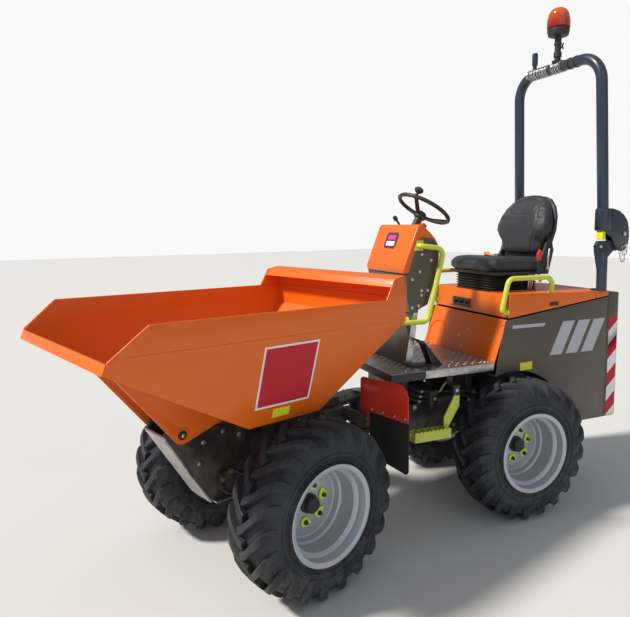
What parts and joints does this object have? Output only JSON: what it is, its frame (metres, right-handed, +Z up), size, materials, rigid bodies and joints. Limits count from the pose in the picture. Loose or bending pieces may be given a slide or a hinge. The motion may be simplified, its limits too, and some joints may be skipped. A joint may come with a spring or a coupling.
{
  "type": "site dumper",
  "caption": "Articulated site dumper: tipping skip on the front half, driver's seat, roll-over hoop and engine on the rear half, on lugged tyres.",
  "frame": {"origin": "on the ground under the middle of the part's own box, as it stands steered", "axes": "+Z up, -Y the way the front half faces, +X the machine's left, metres"},
  "size_m": [1.4294, 3.2104, 2.9236],
  "materials": {
    "charcoal_paint": "satin",
    "plate_steel": "satin",
    "black_paint": "satin",
    "red_orange_paint": "satin",
    "orange_paint": "gloss",
    "bright_steel": "polished",
    "engine_castings": "matte",
    "black_plastic": "matte",
    "lime_paint": "satin",
    "blue_grey_paint": "satin",
    "black_seat_cover": "matte",
    "amber_lens": "gloss",
    "tyre_rubber": "matte",
    "silver_paint": "satin"
  },
  "bodies": {
    "front_frame": {"front_frame": "charcoal_paint", "nose_plate": "plate_steel", "skip_hinge_pin": "plate_steel", "pivot_pin": "plate_steel", "front_axle": "black_paint", "mudguard_left": "red_orange_paint", "mudguard_right": "red_orange_paint"},
    "skip": {"skip": "orange_paint"},
    "tip_barrel": {"tip_cylinder_barrel": "black_paint"},
    "tip_rod": {"tip_cylinder_rod": "bright_steel"},
    "centre_block": {"centre_block": "black_paint"},
    "steering_barrel": {"steering_cylinder_barrel": "black_paint"},
    "steering_rod": {"steering_cylinder_rod": "bright_steel"},
    "rear_frame": {"rear_frame": "charcoal_paint", "rear_axle": "black_paint", "engine_block": "engine_castings", "platform": "plate_steel", "seat_box_panel": "orange_paint", "side_panel_left": "charcoal_paint", "side_panel_right": "charcoal_paint", "rear_deck": "orange_paint", "rear_panel": "charcoal_paint", "console_cowl": "orange_paint", "console_column": "charcoal_paint", "steering_column": "black_paint", "drive_pedal": "black_plastic", "hand_rail_left": "lime_paint", "hand_rail_right": "lime_paint", "step_left": "lime_paint", "step_right": "lime_paint", "rops_post_left": "blue_grey_paint", "rops_post_right": "blue_grey_paint"},
    "engine_cover": {"engine_cover": "orange_paint", "seat_base": "black_plastic", "seat_cushion": "black_seat_cover", "seat_back": "black_seat_cover", "grab_rail_left": "lime_paint", "grab_rail_right": "lime_paint"},
    "rops_hoop": {"rops_hoop": "blue_grey_paint", "beacon_base": "black_plastic", "beacon_dome": "amber_lens"},
    "steering_wheel": {"steering_wheel": "black_plastic"},
    "wheel_front_left": {"tyre_front_left": "tyre_rubber", "rim_front_left": "silver_paint"},
    "wheel_front_right": {"tyre_front_right": "tyre_rubber", "rim_front_right": "silver_paint"},
    "wheel_rear_left": {"tyre_rear_left": "tyre_rubber", "rim_rear_left": "silver_paint"},
    "wheel_rear_right": {"tyre_rear_right": "tyre_rubber", "rim_rear_right": "silver_paint"}
  },
  "joints": [
    {"name": "skip_tip", "type": "hinge", "parent": "front_frame", "child": "skip", "pos_m": [-0.15468, -1.16424, 0.722], "axis": [1, 0, 0], "range_deg": [0, 80]},
    {"name": "tip_barrel_swing", "type": "hinge", "parent": "front_frame", "child": "tip_barrel", "pos_m": [-0.15468, -0.49924, 0.47], "axis": [1, 0, 0], "range_deg": [-11.5, 1]},
    {"name": "tip_rod_slide", "type": "slide", "parent": "tip_barrel", "child": "tip_rod", "axis": [0, -0.8771, 0.4803], "range_m": [-0.005, 0.305]},
    {"name": "steer", "type": "hinge", "parent": "front_frame", "child": "centre_block", "pos_m": [-0.15468, -0.03824, 0.555], "axis": [0, 0, 1], "range_deg": [-13.85, 50.16]},
    {"name": "steering_barrel_swing", "type": "hinge", "parent": "front_frame", "child": "steering_barrel", "pos_m": [-0.37968, -0.38924, 0.545], "axis": [0, 0, 1], "range_deg": [-2, 3]},
    {"name": "steering_rod_slide", "type": "slide", "parent": "steering_barrel", "child": "steering_rod", "axis": [0.2788, 0.9603, 0], "range_m": [-0.112, 0.032]},
    {"name": "chassis_swing", "type": "hinge", "parent": "centre_block", "child": "rear_frame", "pos_m": [-0.10794, 0.10429, 0.555], "axis": [0.3116, 0.9502, 0], "range_deg": [-8, 8]},
    {"name": "engine_cover_lift", "type": "hinge", "parent": "rear_frame", "child": "engine_cover", "pos_m": [0.2722, 1.26356, 1.205], "axis": [-0.9502, 0.3116, 0], "range_deg": [0, 45]},
    {"name": "hoop_fold", "type": "hinge", "parent": "rear_frame", "child": "rops_hoop", "pos_m": [0.3314, 1.4441, 1.54], "axis": [-0.9502, 0.3116, 0], "range_deg": [0, 95]},
    {"name": "steering_wheel_turn", "type": "hinge", "parent": "rear_frame", "child": "steering_wheel", "pos_m": [-0.02755, 0.34945, 1.679], "axis": [0.1593, 0.4858, 0.8594], "continuous": true},
    {"name": "front_left_roll", "type": "hinge", "parent": "front_frame", "child": "wheel_front_left", "pos_m": [0.27432, -0.71924, 0.38], "axis": [1, 0, 0], "continuous": true},
    {"name": "front_right_roll", "type": "hinge", "parent": "front_frame", "child": "wheel_front_right", "pos_m": [-0.58368, -0.71924, 0.38], "axis": [1, 0, 0], "continuous": true},
    {"name": "rear_left_roll", "type": "hinge", "parent": "rear_frame", "child": "wheel_rear_left", "pos_m": [0.49538, 0.56736, 0.38], "axis": [0.9502, -0.3116, 0], "continuous": true},
    {"name": "rear_right_roll", "type": "hinge", "parent": "rear_frame", "child": "wheel_rear_right", "pos_m": [-0.31991, 0.8347, 0.38], "axis": [0.9502, -0.3116, 0], "continuous": true}
  ],
  "couplings": [
    {"joint": "tip_barrel_swing", "follows": "skip_tip", "ratio": -0.1308},
    {"joint": "tip_rod_slide", "follows": "skip_tip", "m_per_rad": 0.2121},
    {"joint": "steering_barrel_swing", "follows": "steer", "ratio": 0.03},
    {"joint": "steering_rod_slide", "follows": "steer", "m_per_rad": -0.1245}
  ]
}
